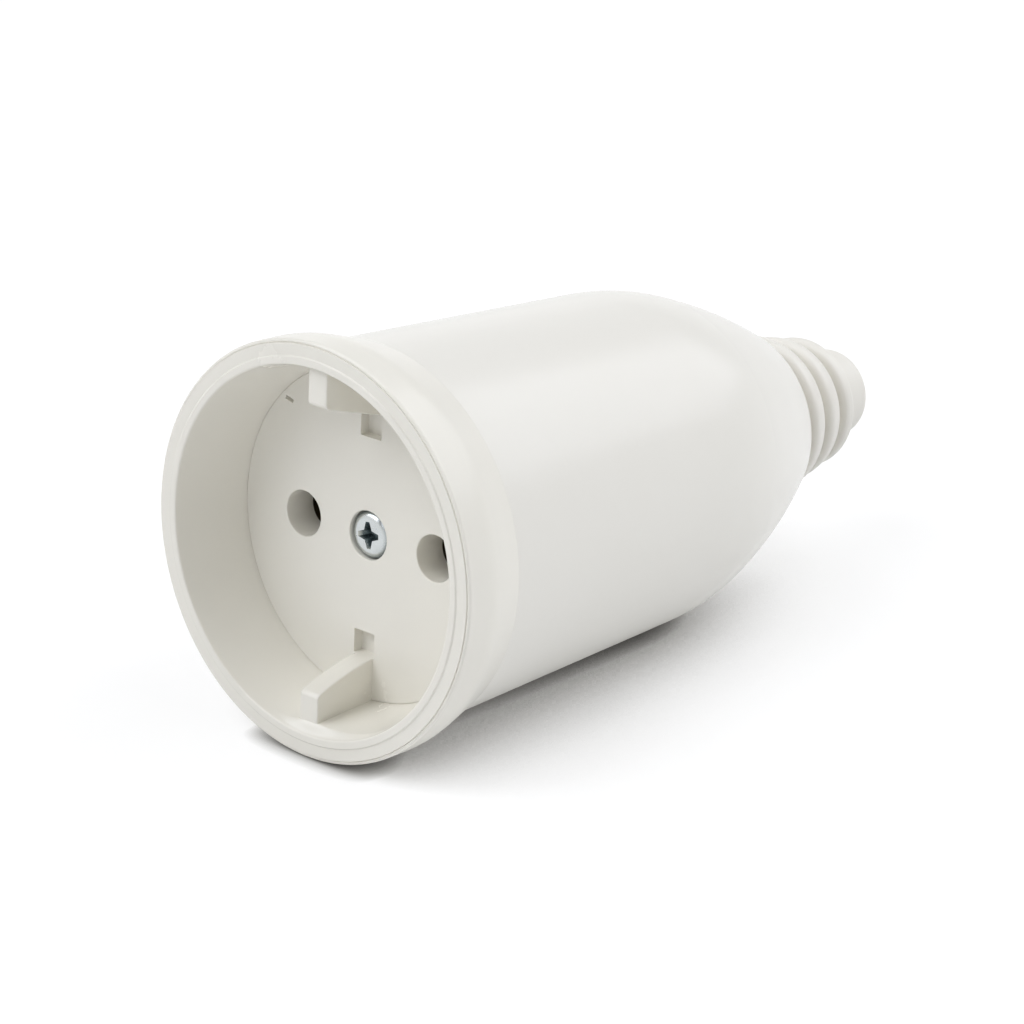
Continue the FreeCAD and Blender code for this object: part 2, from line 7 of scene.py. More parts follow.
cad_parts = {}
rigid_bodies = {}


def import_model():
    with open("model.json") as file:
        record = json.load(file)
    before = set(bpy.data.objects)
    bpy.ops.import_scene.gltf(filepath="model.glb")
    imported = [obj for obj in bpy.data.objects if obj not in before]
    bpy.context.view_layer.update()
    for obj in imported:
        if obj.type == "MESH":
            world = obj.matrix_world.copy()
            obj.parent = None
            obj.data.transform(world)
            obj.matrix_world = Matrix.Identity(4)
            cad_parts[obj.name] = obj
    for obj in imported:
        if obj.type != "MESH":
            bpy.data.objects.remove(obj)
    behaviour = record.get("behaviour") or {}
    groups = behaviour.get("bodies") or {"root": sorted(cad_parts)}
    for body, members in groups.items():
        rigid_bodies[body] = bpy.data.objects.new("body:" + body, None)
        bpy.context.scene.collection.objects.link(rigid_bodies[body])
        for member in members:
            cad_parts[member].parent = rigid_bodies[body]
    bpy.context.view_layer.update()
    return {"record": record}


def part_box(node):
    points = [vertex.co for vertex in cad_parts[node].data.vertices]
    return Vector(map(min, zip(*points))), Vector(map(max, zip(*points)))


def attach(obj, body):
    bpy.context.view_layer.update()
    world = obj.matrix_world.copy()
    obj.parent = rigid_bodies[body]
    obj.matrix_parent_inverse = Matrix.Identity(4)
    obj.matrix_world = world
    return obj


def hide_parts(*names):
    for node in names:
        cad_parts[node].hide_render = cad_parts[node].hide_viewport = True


for leftover in list(bpy.data.objects):
    bpy.data.objects.remove(leftover)
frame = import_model()

# Front moulding: the stepped rim, the collar and the deep well with its floor, fins and slots.
# It is one shot of off-white thermoplastic with softly rounded edges. Behind the floor it carries
# the contact towers, the pillar for the centre screw and the arm for the cord clamp.
mm = 0.001
mounts = {mount["name"]: mount for mount in frame["record"]["mounts"]}
front_low, front_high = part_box("front_socket")
mouth = front_low.y
axis_height = (front_low.z + front_high.z) / 2
collar_radius = (front_high.x - front_low.x) / (2 * mm)
pin_place = mounts["pin_hole_right"]["pos_m"][0] / mm
pin_hole_radius = mounts["pin_hole_right"]["dims"]["r_mm"]
floor_thickness = mounts["pin_hole_right"]["dims"]["length_mm"]
floor_depth = (mounts["pin_hole_right"]["pos_m"][1] - mouth) / mm
floor_back = floor_depth + floor_thickness
floor_radius = 18.2
joint = floor_depth + 0.05
mouth_radius = collar_radius - 2.66
well_radius = mouth_radius + 0.04
lip_radius = collar_radius - 1.81
rim_radius = collar_radius - 0.43
edge_radius = 21.007
waist_radius = 20.75
spigot_radius = 18.4
spigot_draft = 0.2
edge_round = 0.15
overlap = 0.5
overcut = 1.0
shallow_overcut = 0.05
small_segments = 96


def in_frame(across, along, up):
    """A place in metres, from millimetres across, along the axis from the mouth and above the axis."""
    return Vector((across * mm, mouth + along * mm, axis_height + up * mm))


def rounded(corners):
    """The points of a closed outline of (along, out, radius) corners, each corner turned into an arc."""
    points = []
    for index, (along, out, radius) in enumerate(corners):
        corner = Vector((along, out))
        back = (Vector(corners[index - 1][:2]) - corner).normalized()
        ahead = (Vector(corners[(index + 1) % len(corners)][:2]) - corner).normalized()
        turn = math.pi - back.angle(ahead)
        if radius == 0 or turn < 0.01:
            points.append(corner)
            continue
        start = corner + back * radius * math.tan(turn / 2)
        centre = corner + (back + ahead).normalized() * radius / math.cos(turn / 2)
        end = corner + ahead * radius * math.tan(turn / 2)
        way = 1 if (start - centre).cross(end - centre) > 0 else -1
        degrees_a_step = 10 if radius < 1 else 2
        steps = max(3, round(math.degrees(turn) / degrees_a_step))
        for step in range(steps + 1):
            points.append(centre + Matrix.Rotation(way * turn * step / steps, 2) @ (start - centre))
    return points


def as_piece(name, shape):
    """A new object at the origin from a closed shape, its faces turned outwards."""
    bmesh.ops.remove_doubles(shape, verts=shape.verts, dist=1e-7)
    bmesh.ops.recalc_face_normals(shape, faces=shape.faces)
    mesh = bpy.data.meshes.new(name)
    shape.to_mesh(mesh)
    shape.free()
    piece = bpy.data.objects.new(name, mesh)
    bpy.context.scene.collection.objects.link(piece)
    return piece


def turned(name, corners, across=0.0, up=0.0, segments=240):
    """A solid turned about a line along the axis, from the corners of half its section."""
    shape = bmesh.new()
    rings = []
    for along, out in rounded(corners):
        ring = []
        for step in range(segments if out > 1e-6 else 1):
            angle = math.tau * step / segments
            ring.append(shape.verts.new(in_frame(
                across + out * math.cos(angle), along, up + out * math.sin(angle),
            )))
        rings.append(ring)
    for first, second in zip(rings, rings[1:] + rings[:1]):
        if len(first) == 1 and len(second) == 1:
            continue
        for step in range(segments):
            loop = [
                first[step % len(first)],
                first[(step + 1) % len(first)],
                second[(step + 1) % len(second)],
                second[step % len(second)],
            ]
            shape.faces.new(list(dict.fromkeys(loop)))
    return as_piece(name, shape)


def rod(name, radius, start, end, across=0.0, up=0.0):
    """A plain round bar along the axis, for a bore or a tower."""
    corners = [(start, 0, 0), (start, radius, 0), (end, radius, 0), (end, 0, 0)]
    return turned(name, corners, across, up, small_segments)


def rim_cutter(name, radius, depth, across=0.0):
    """A round cutter that leaves a softly rounded rim where it enters the floor of the well."""
    rim_start = floor_depth - 0.005
    rim_round = edge_round * 0.98
    corners = [
        (floor_depth - overcut, 0, 0),
        (floor_depth - overcut, radius + edge_round, 0),
        (rim_start, radius + edge_round, 0),
        (rim_start, radius, rim_round),
        (floor_depth + depth, radius, 0),
        (floor_depth + depth, 0, 0),
    ]
    return turned(name, corners, across, 0.0, small_segments)


def prism(corners, draw):
    """A closed shape with a flat outline of corners, drawn out by three distances in metres."""
    shape = bmesh.new()
    face = shape.faces.new([shape.verts.new(corner) for corner in corners])
    for vert in bmesh.ops.extrude_face_region(shape, geom=[face])["geom"]:
        if isinstance(vert, bmesh.types.BMVert):
            vert.co = [place + distance for place, distance in zip(vert.co, draw)]
    return shape


def slab(name, outline, width, edge):
    """A slab of one width across, from an outline of (along, up) points, with rounded edges."""
    corners = [in_frame(-width / 2, along, up) for along, up in outline]
    shape = prism(corners, (width * mm, 0, 0))
    bmesh.ops.recalc_face_normals(shape, faces=shape.faces)
    if edge > 0:
        sharp = [line for line in shape.edges if line.calc_face_angle() > 0.4]
        bmesh.ops.bevel(
            shape, geom=sharp, offset=edge * mm, offset_type="OFFSET",
            segments=3, profile=0.5, affect="EDGES",
        )
    return as_piece(name, shape)


def finished_mesh(piece):
    """A plain mesh of a piece with its modifiers applied."""
    evaluated = piece.evaluated_get(bpy.context.evaluated_depsgraph_get())
    return bpy.data.meshes.new_from_object(evaluated)


def moulded(name, base, added, cut, crease=35):
    """The base with the added solids joined to it and the cut ones taken out, shaded along clean edges."""
    for operation, tools in (("UNION", added), ("DIFFERENCE", cut)):
        for tool in tools:
            step = base.modifiers.new(tool.name, "BOOLEAN")
            step.operation = operation
            step.solver = "MANIFOLD"
            step.object = tool
    mesh = finished_mesh(base)
    for tool in [base, *added, *cut]:
        bpy.data.objects.remove(tool)
    mesh.shade_smooth()
    mesh.set_sharp_from_angle(angle=math.radians(crease))
    piece = bpy.data.objects.new(name, mesh)
    bpy.context.scene.collection.objects.link(piece)
    shading = piece.modifiers.new("even_shading", "WEIGHTED_NORMAL")
    shading.keep_sharp = True
    finished = finished_mesh(piece)
    piece.modifiers.remove(shading)
    piece.data = finished
    return piece


def wall_radius(along):
    """The well narrows evenly from the mouth to the floor, so that the moulding leaves its core."""
    return floor_radius + (well_radius - floor_radius) * (1 - along / floor_depth)


foot_groove = 0.1
deep_rows = 12
near_mouth = 1.6
near_mouth_length = 1.3
near_mouth_rows = 20
wall_places = [floor_depth + foot_groove]
wall_places += [floor_depth + (near_mouth - floor_depth) * row / deep_rows for row in range(deep_rows)]
wall_places += [near_mouth - near_mouth_length * row / near_mouth_rows for row in range(near_mouth_rows + 1)]
mouth_round = 0.25
lip_round = 0.1
lip_slope = 0.12
fine_round = 0.03
rim_step = 0.15
rim_groove = 0.16
rim_groove_width = 0.12
edge_front = 0.25
collar_round = 0.3
collar_bend = 4.12
collar_bend_round = 8.28
joint_round = 0.1
front_shell = turned("front_shell", [
    (floor_depth, 0, 0),
    (floor_depth, floor_radius - 0.11, fine_round),
    (floor_depth + foot_groove, floor_radius - 0.07, 0),
    *[(place, wall_radius(place), 0) for place in wall_places],
    (0, well_radius, mouth_round),
    (0, lip_radius, lip_round),
    (rim_step, lip_radius + lip_slope, lip_round),
    (rim_step, rim_radius, fine_round),
    (rim_step + rim_groove, rim_radius + 0.03, 0),
    (edge_front, rim_radius + rim_groove_width, fine_round),
    (edge_front, collar_radius, collar_round),
    (collar_bend, collar_radius, collar_bend_round),
    (joint, edge_radius, joint_round),
    (joint, spigot_radius, 0),
    (floor_back, spigot_radius - spigot_draft, 0),
    (floor_back, 0, 0),
])

fin_front = 0.95
mound_front = 0.15
mound_full = fin_front + 0.15
mound_height = 1.12
mound_spread = 6.5
mound_left_spread = 0.42 * mound_spread
mound_sector = 0.6
for vert in front_shell.data.vertices:
    along = (vert.co.y - mouth) / mm
    across = vert.co.x / mm
    up = (vert.co.z - axis_height) / mm
    out = math.hypot(across, up)
    on_wall = floor_radius - 0.3 < out < wall_radius(along) + 0.02
    if mound_front < along < floor_depth and on_wall and -up > mound_sector * out:
        spread = mound_spread if across > 0 else mound_left_spread
        share = min(1.0, (along - mound_front) / (mound_full - mound_front))
        rise = mound_height * (1 - along / floor_depth) * math.exp(-(across / spread) ** 2)
        kept = 1 - rise * share * share * (3 - 2 * share) / out
        vert.co.x *= kept
        vert.co.z = axis_height + up * kept * mm

fin_width = 2.6
fin_front_height = mouth_radius - 4.27
fin_floor_height = floor_radius - 4.8
fin_bevel = 0.35
fin_edge = 0.18
fin_root = mouth_radius + overlap
fin_back = floor_depth + 0.25
fin_crown_steps = 12
slot_width = 2.95
slot_height = 2.7
slot_depth = 1.2
slot_edge = 0.08
fin_start = Vector((fin_front + fin_bevel, fin_front_height))
fin_end = Vector((floor_depth, fin_floor_height))
fin_chord = fin_end - fin_start
fin_side = Vector((fin_chord.y, -fin_chord.x)).normalized()
front_added = []
front_cut = []
for place, side, fin_bend in (("lower", -1, 30.0), ("upper", 1, 300.0)):
    fin_sag = fin_bend - math.sqrt(fin_bend ** 2 - fin_chord.length_squared / 4)
    fin_crown = [Vector((fin_back, fin_floor_height))]
    for step in range(fin_crown_steps + 1):
        share = 1 - step / fin_crown_steps
        fin_crown.append(fin_start + fin_chord * share + fin_side * fin_sag * (1 - (2 * share - 1) ** 2))
    fin = [
        (fin_front, fin_front_height + fin_bevel),
        (fin_front, fin_root),
        (fin_back, floor_radius + overlap),
        *[(point.x, point.y) for point in fin_crown],
    ]
    fin_outline = [(along, side * out) for along, out in fin]
    front_added.append(slab(f"fin_{place}", fin_outline, fin_width, fin_edge))
    slot = [
        (floor_depth - overcut, fin_floor_height - slot_height),
        (floor_depth - overcut, fin_floor_height),
        (floor_depth + slot_depth, fin_floor_height),
        (floor_depth + slot_depth, fin_floor_height - slot_height),
    ]
    slot_outline = [(along, side * out) for along, out in slot]
    front_cut.append(slab(f"slot_{place}", slot_outline, slot_width, slot_edge))

tower_radius = 4.7
tower_bore = 3.75
tower_end = floor_back + 14.0
tower_root = floor_back - overlap
pillar_radius = 3.6
pillar_end = floor_back + 15.6
recess_radius = 2.67
recess_depth = 1.95
screw_hole_radius = 1.7
for side in (-1, 1):
    front_added.append(rod(f"tower_{side}", tower_radius, tower_root, tower_end, side * pin_place))
    front_cut.append(rod(f"chamber_{side}", tower_bore, floor_back, tower_end + overcut, side * pin_place))
    front_cut.append(rim_cutter(
        f"pin_hole_{side}", pin_hole_radius, floor_thickness + overlap, side * pin_place,
    ))
front_added.append(rod("pillar", pillar_radius, tower_root, pillar_end))

arm_top = 4.41
arm_seat = 7.76
arm_width = 10.0
seat_front = joint + 34.9
seat_length = 7.5
seat_back = seat_front + seat_length
seat_width = 20.4
cord_groove = 2.4
clamp_screw_place = 7.0
pilot_radius = 1.43
pilot_sides = 24
arm_outline = [
    (tower_root, -arm_top),
    (seat_back, -arm_top),
    (seat_back, -arm_seat),
    (tower_root, -arm_seat),
]
front_added.append(slab("arm", arm_outline, arm_width, 0.0))
seat_outline = [(max(along, seat_front), up) for along, up in arm_outline]
front_added.append(slab("clamp_seat", seat_outline, seat_width, 0.0))
front_cut.append(rim_cutter("screw_recess", recess_radius, recess_depth))
front_cut.append(rod("screw_hole", screw_hole_radius, floor_depth, pillar_end + overcut))
front_cut.append(rod(
    "cord_groove", cord_groove, seat_front - overcut, seat_back + overcut, 0.0, -arm_seat,
))
for side in (-1, 1):
    pilot = []
    for step in range(pilot_sides):
        turn = math.tau * step / pilot_sides
        pilot.append(in_frame(
            side * clamp_screw_place + pilot_radius * math.sin(turn),
            seat_front + seat_length / 2 + pilot_radius * math.cos(turn),
            -arm_seat - overcut,
        ))
    pilot_length = arm_seat - arm_top + 2 * overcut
    front_cut.append(as_piece(f"pilot_{side}", prism(pilot, (0, 0, pilot_length * mm))))

gate_across = -12.0
gate_up = 12.1
gate_turn = math.radians(-14)
gate_depth = 0.5
gate_top = (1.25, 0.45)
gate_bottom = (0.9, 0.25)
shape = bmesh.new()
bmesh.ops.create_cube(shape, size=1)
for vert in shape.verts:
    deep = vert.co.y > 0
    gate_length, gate_width = gate_bottom if deep else gate_top
    lengthwise = vert.co.x * gate_length
    crosswise = vert.co.z * gate_width
    vert.co = in_frame(
        gate_across + lengthwise * math.cos(gate_turn) - crosswise * math.sin(gate_turn),
        floor_depth + (gate_depth if deep else -shallow_overcut),
        gate_up + lengthwise * math.sin(gate_turn) + crosswise * math.cos(gate_turn),
    )
front_cut.append(as_piece("gate_mark", shape))
front_socket = moulded("front_moulding", front_shell, front_added, front_cut)


class Wire:
    """A node's output. Arithmetic on it adds Math nodes, and node() adds any other kind."""

    def __init__(self, tree, socket=None):
        self.tree = tree
        self.socket = socket

    def node(self, kind, values=None, output=0, **settings):
        made = self.tree.nodes.new(kind)
        for name, value in settings.items():
            setattr(made, name, value)
        for name, value in (values or {}).items():
            if isinstance(value, Wire):
                self.tree.links.new(value.socket, made.inputs[name])
            else:
                made.inputs[name].default_value = value
        return Wire(self.tree, made.outputs[output] if len(made.outputs) else None)

    def maths(self, operation, first, second):
        return self.node("ShaderNodeMath", {0: first, 1: second}, operation=operation)

    def mix(self, first, second):
        """The first colour where this is nought, going over to the second where it is one."""
        return self.node("ShaderNodeMix", {0: self, 6: first, 7: second}, output=2, data_type="RGBA")

    def ramp(self, start, end, first, last):
        """An even change from the first to the last value while this goes from its start to its end."""
        return self.node("ShaderNodeMapRange", {0: self, 1: start, 2: end, 3: first, 4: last})

    def __add__(self, other):
        return self.maths("ADD", self, other)

    def __radd__(self, other):
        return self.maths("ADD", other, self)

    def __sub__(self, other):
        return self.maths("SUBTRACT", self, other)

    def __rsub__(self, other):
        return self.maths("SUBTRACT", other, self)

    def __mul__(self, other):
        return self.maths("MULTIPLY", self, other)

    def __rmul__(self, other):
        return self.maths("MULTIPLY", other, self)

    def __truediv__(self, other):
        return self.maths("DIVIDE", self, other)

    def __rtruediv__(self, other):
        return self.maths("DIVIDE", other, self)

    def __pow__(self, other):
        return self.maths("POWER", self, other)


def new_material(name):
    """An empty material, and the wire that its nodes start from."""
    material = bpy.data.materials.new(name)
    material.use_nodes = True
    material.node_tree.nodes.clear()
    return material, Wire(material.node_tree)


def plastic(name, pale, deep, roughness, peel, shade_from=None):
    """Moulded plastic: clouds of two tones, uneven gloss, sink waves, orange peel, and painted dark brown
    shade behind a place.
    """
    painted_hollow_shade = (0.07, 0.05, 0.03)
    hollow_shade_fade = 0.1 * mm
    wave_share = 4.0
    peel_share = 0.15
    material, start = new_material(name)
    place = start.node("ShaderNodeTexCoord", output="Object")
    cloud = start.node("ShaderNodeTexNoise", {"Vector": place, "Scale": 90.0, "Detail": 3.0})
    wave = start.node("ShaderNodeTexNoise", {"Vector": place, "Scale": 140.0, "Detail": 1.0})
    grain = start.node("ShaderNodeTexNoise", {"Vector": place, "Scale": 1600.0, "Detail": 2.0})
    colour = cloud.mix((*pale, 1), (*deep, 1))
    # Painted shade: behind the given place along the axis the colour turns dark brown, standing in for the
    # shade in the closed hollow behind the floor.
    if shade_from is not None:
        along = start.node("ShaderNodeSeparateXYZ", {0: place}, output="Y")
        hollow_shade_mask = along.ramp(shade_from - hollow_shade_fade, shade_from, 0.0, 1.0)
        colour = hollow_shade_mask.mix(colour, (*painted_hollow_shade, 1))
    height = wave * wave_share + grain * peel * peel_share
    bump = start.node("ShaderNodeBump", {"Height": height, "Strength": 1.0, "Distance": 0.000002})
    surface = start.node("ShaderNodeBsdfPrincipled", {
        "Base Color": colour,
        "Roughness": (cloud - 0.5) * 0.1 + (grain - 0.5) * 0.02 + roughness,
        "Normal": bump,
        "IOR": 1.5,
    })
    start.node("ShaderNodeOutputMaterial", {"Surface": surface})
    return material


# Behind the floor this plastic carries painted shade, dark brown, for the hollow seen through the pin holes.
front_plastic = plastic(
    "off_white_front", pale=(0.823, 0.801, 0.728), deep=(0.807, 0.784, 0.71),
    roughness=0.25, peel=1.0, shade_from=mouth + floor_back * mm,
)
front_socket.data.materials.clear()
front_socket.data.materials.append(front_plastic)
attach(front_socket, "root")
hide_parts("front_socket")

# Rear body: the bullet-shaped shell that the front moulding slides into, in the same plastic.
# It is moulded in one shot on a core, so it is thin all round, and a bridge inside holds the nut
# that the centre screw pulls on. Its tail is open for the sleeve.
tail = (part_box("rear_body")[1].y - mouth) / mm
tail_radius = 11.587
tail_round = 0.6
shoulder_bend = 51.93
shoulder_bend_radius = 19.355
shoulder_bend_round = 33.6
taper_bend = 63.964
taper_bend_radius = 15.669
taper_bend_round = 88
shoulder = joint + 38.4
taper = shoulder + 8.7
shoulder_radius = waist_radius - 1.25
taper_radius = shoulder_radius - 1.45
wall = 2.2
front_bore = spigot_radius + 0.15
sleeve_hole_radius = 9.0
sleeve_seat = tail - 2.6
flange_room = 11.6
rear_shell = turned("rear_shell", [
    (joint, front_bore, 0),
    (joint, waist_radius, joint_round),
    (shoulder_bend, shoulder_bend_radius, shoulder_bend_round),
    (taper_bend, taper_bend_radius, taper_bend_round),
    (tail, tail_radius, tail_round),
    (tail, sleeve_hole_radius, edge_round),
    (sleeve_seat, sleeve_hole_radius, 0),
    (sleeve_seat, flange_room, 0),
    (taper - wall / 2, taper_radius - wall, 0),
    (shoulder, shoulder_radius - wall, 0),
])
bridge_front = pillar_end + 0.15
bridge_back = bridge_front + 6.2
bridge_reach = 19.0
bridge_width = 3.0
boss_radius = 3.96
nut_sides = 6
nut_flats = 5.65
nut_corner = nut_flats / math.sqrt(3)
nut_height = 2.4
bridge_rib = slab("bridge_rib", [
    (bridge_front, 0), (bridge_back, 0), (bridge_back, bridge_reach), (bridge_front, bridge_reach),
], bridge_width, 0.0)
bridge_boss = rod("bridge_boss", boss_radius, bridge_front, bridge_back)
bridge_hole = rod("bridge_hole", screw_hole_radius, bridge_front - overcut, bridge_back + overcut)
nut_corners = []
for step in range(nut_sides):
    turn = math.tau * step / nut_sides
    nut_corners.append(in_frame(
        nut_corner * math.sin(turn), bridge_back - nut_height, nut_corner * math.cos(turn),
    ))
nut_seat = as_piece("nut_seat", prism(nut_corners, (0, (nut_height + overcut) * mm, 0)))
rear_body = moulded("rear_moulding", rear_shell, [bridge_rib, bridge_boss], [bridge_hole, nut_seat])
rear_plastic = plastic(
    "off_white_rear", pale=(0.818, 0.8, 0.742), deep=(0.803, 0.784, 0.724), roughness=0.25, peel=0.9,
)
rear_body.data.materials.clear()
rear_body.data.materials.append(rear_plastic)
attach(rear_body, "root")
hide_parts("rear_body")

# Cord sleeve: a soft nozzle that keeps the cord from kinking, held in the tail by its flange.
# It is moulded in a rubbery plastic of the same colour, with three round ribs that grow smaller
# towards a blunt open end.
sleeve_end = (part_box("cord_sleeve")[1].y - mouth) / mm
cord_bore = mounts["cord_entry"]["dims"]["r_mm"]
flange_front = sleeve_seat - 2.0
flange_radius = 10.2
flange_round = 0.2
neck_radius = 8.85
neck_end = tail + 2.1
neck_round = 0.5
neck_step = 0.15
groove_radius = 7.5
rib_front = neck_end + 1.32
rib_lead = 0.6
rib_pitch = 4.35
rib_thickness = 2.9
last_rib_cut = 0.9
rib_height = 2.5
rib_fall = 0.95
rib_root = 0.25
rib_squareness = 3.4
rib_count = 3
rib_rows = 200
nozzle_front = rib_front + rib_pitch * (rib_count - 1) + rib_thickness - last_rib_cut
nozzle_radius = 5.5
nozzle_round = 1.6
core_rows = []
for row in range(rib_rows + 1):
    along = rib_front - rib_lead + (nozzle_front - rib_front + rib_lead) * row / rib_rows
    core = groove_radius - rib_fall * (along - rib_front) / rib_pitch
    core_rows.append((along, max(core, nozzle_radius), 0))
sleeve_core = turned("sleeve_core", [
    (flange_front, cord_bore, 0.3),
    (flange_front, flange_radius, flange_round),
    (sleeve_seat, flange_radius, flange_round),
    (sleeve_seat, neck_radius, 0),
    (neck_end, neck_radius, neck_round),
    (neck_end + neck_step, groove_radius + 0.2, neck_step),
    *core_rows,
    (sleeve_end, nozzle_radius, nozzle_round),
    (sleeve_end, cord_bore, 0.35),
], segments=160)
rib_tree = bpy.data.node_groups.new("sleeve_ribs", "GeometryNodeTree")
rib_tree.interface.new_socket("Geometry", in_out="INPUT", socket_type="NodeSocketGeometry")
rib_inputs = {
    "First rib": mouth + rib_front * mm,
    "Axis height": axis_height,
    "Pitch": rib_pitch * mm,
    "Full thickness": rib_thickness * mm,
    "Last cut": last_rib_cut * mm,
    "Height": rib_height * mm,
    "Last rib": float(rib_count - 1),
    "Root round": rib_root * mm,
    "Core radius": (cord_bore + 1.0) * mm,
}
rib_sockets = {
    name: rib_tree.interface.new_socket(name, in_out="INPUT", socket_type="NodeSocketFloat").identifier
    for name in rib_inputs
}
finish_socket = rib_tree.interface.new_socket(
    "Finish", in_out="INPUT", socket_type="NodeSocketMaterial",
).identifier
rib_tree.interface.new_socket("Geometry", in_out="OUTPUT", socket_type="NodeSocketGeometry")
tree_start = Wire(rib_tree)
given = rib_tree.nodes.new("NodeGroupInput")
size = {name: Wire(rib_tree, given.outputs[name]) for name in rib_inputs}
position = tree_start.node("GeometryNodeInputPosition")
parted = rib_tree.nodes.new("ShaderNodeSeparateXYZ")
rib_tree.links.new(position.socket, parted.inputs[0])
across, along, height = (Wire(rib_tree, output) for output in parted.outputs)
up = height - size["Axis height"]
out = (across * across + up * up) ** 0.5
number = (along - size["First rib"] + (size["Pitch"] - size["Full thickness"]) / 2) / size["Pitch"]
number = tree_start.node("ShaderNodeMath", {0: number}, operation="FLOOR")
number = number.maths("MAXIMUM", number.maths("MINIMUM", number, size["Last rib"]), 0.0)
last = number.maths("GREATER_THAN", number, size["Last rib"] - 0.5)
thickness = size["Full thickness"] - last * size["Last cut"]
middle = size["First rib"] + number * size["Pitch"] + thickness / 2
reach = tree_start.node("ShaderNodeMath", {0: along - middle}, operation="ABSOLUTE") / (thickness / 2)
inside = reach.maths("MAXIMUM", 1 - reach ** rib_squareness, 0.0) ** (1 / rib_squareness)
beside = (reach - 1) * thickness / 2
beside = beside.maths("MAXIMUM", beside, 0.0)
foot = size["Root round"] - beside
foot = foot.maths("MAXIMUM", foot, 0.0)
foot = size["Root round"] - (size["Root round"] * size["Root round"] - foot * foot) ** 0.5
crest = inside * size["Height"]
rise = crest.maths("MAXIMUM", crest, foot)
grown = (out + rise) / out
moved = tree_start.node("ShaderNodeCombineXYZ", {
    "X": across * grown, "Y": along, "Z": up * grown + size["Axis height"],
})
on_core = out.maths("GREATER_THAN", out, size["Core radius"])
past_start = along.maths("GREATER_THAN", along, size["First rib"] - size["Root round"])
last_end = size["First rib"] + size["Last rib"] * size["Pitch"] + size["Full thickness"]
last_end = last_end - size["Last cut"] + size["Root round"]
before_end = along.maths("LESS_THAN", along, last_end)
raised = tree_start.node("GeometryNodeSetPosition", {
    "Geometry": Wire(rib_tree, given.outputs["Geometry"]),
    "Selection": on_core * past_start * before_end,
    "Position": moved,
})
real = tree_start.node("GeometryNodeRealizeInstances", {"Geometry": raised})
finish = tree_start.node("GeometryNodeSetMaterial", {
    "Geometry": real, "Material": Wire(rib_tree, given.outputs["Finish"]),
})
tree_start.node("NodeGroupOutput", {"Geometry": finish})
sleeve_rubber = plastic(
    "off_white_sleeve", pale=(0.805, 0.784, 0.722), deep=(0.788, 0.765, 0.7), roughness=0.42, peel=1.3,
)
ribbing = sleeve_core.modifiers.new("ribs", "NODES")
ribbing.node_group = rib_tree
for name, value in rib_inputs.items():
    ribbing[rib_sockets[name]] = value
ribbing[finish_socket] = sleeve_rubber
sleeve_mesh = finished_mesh(sleeve_core)
bpy.data.objects.remove(sleeve_core)
sleeve_mesh.shade_smooth()
sleeve_mesh.set_sharp_from_angle(angle=math.radians(50))
cord_sleeve = bpy.data.objects.new("ribbed_sleeve", sleeve_mesh)
bpy.context.scene.collection.objects.link(cord_sleeve)
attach(cord_sleeve, "root")
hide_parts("cord_sleeve")

# Centre screw: a zinc-plated pan-head machine screw with a cross recess, sunk in the floor.
# It goes through the pillar into the captive nut and draws the two mouldings together.
screw_low, screw_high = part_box("centre_screw")
screw_top = (screw_low.y - mouth) / mm
screw_tip = (screw_high.y - mouth) / mm
screw_seat = floor_depth + recess_depth
head_radius = (screw_high.x - screw_low.x) / (2 * mm)
head_crown = 0.8 * head_radius
head_side = screw_top + 0.5
shank_radius = 1.5
shank_point = shank_radius / 2
screw_blank = turned("screw_blank", [
    (screw_top, 0, 0),
    (screw_top + 0.02, head_crown, 1.0),
    (head_side, head_radius, 0.2),
    (screw_seat, head_radius, 0.1),
    (screw_seat, shank_radius, 0),
    (screw_tip - shank_point, shank_radius, 0),
    (screw_tip, shank_point, 0),
    (screw_tip, 0, 0),
], segments=small_segments)
cross_turn = math.radians(6)
cross_depth = 1.3
cross_reach = 1.5
cross_half_width = 0.27
cross_root = 0.56
cross_bottom = 0.5
cross_arm = (
    (cross_reach, -cross_half_width),
    (cross_reach, cross_half_width),
    (cross_root, cross_root),
)
shape = bmesh.new()
cross_rings = []
for along, scale in ((screw_top - shallow_overcut, 1.0), (screw_top + cross_depth, cross_bottom)):
    ring = []
    for quarter in range(4):
        turn = cross_turn + quarter * math.pi / 2
        for lengthwise, crosswise in cross_arm:
            ring.append(shape.verts.new(in_frame(
                (lengthwise * math.cos(turn) - crosswise * math.sin(turn)) * scale,
                along,
                (lengthwise * math.sin(turn) + crosswise * math.cos(turn)) * scale,
            )))
    shape.faces.new(ring)
    cross_rings.append(ring)
cross_top, cross_floor = cross_rings
for step in range(len(cross_top)):
    shape.faces.new([cross_top[step], cross_top[step - 1], cross_floor[step - 1], cross_floor[step]])
cross_recess = as_piece("cross_recess", shape)
centre_screw = moulded("pan_head_screw", screw_blank, [], [cross_recess], 30)


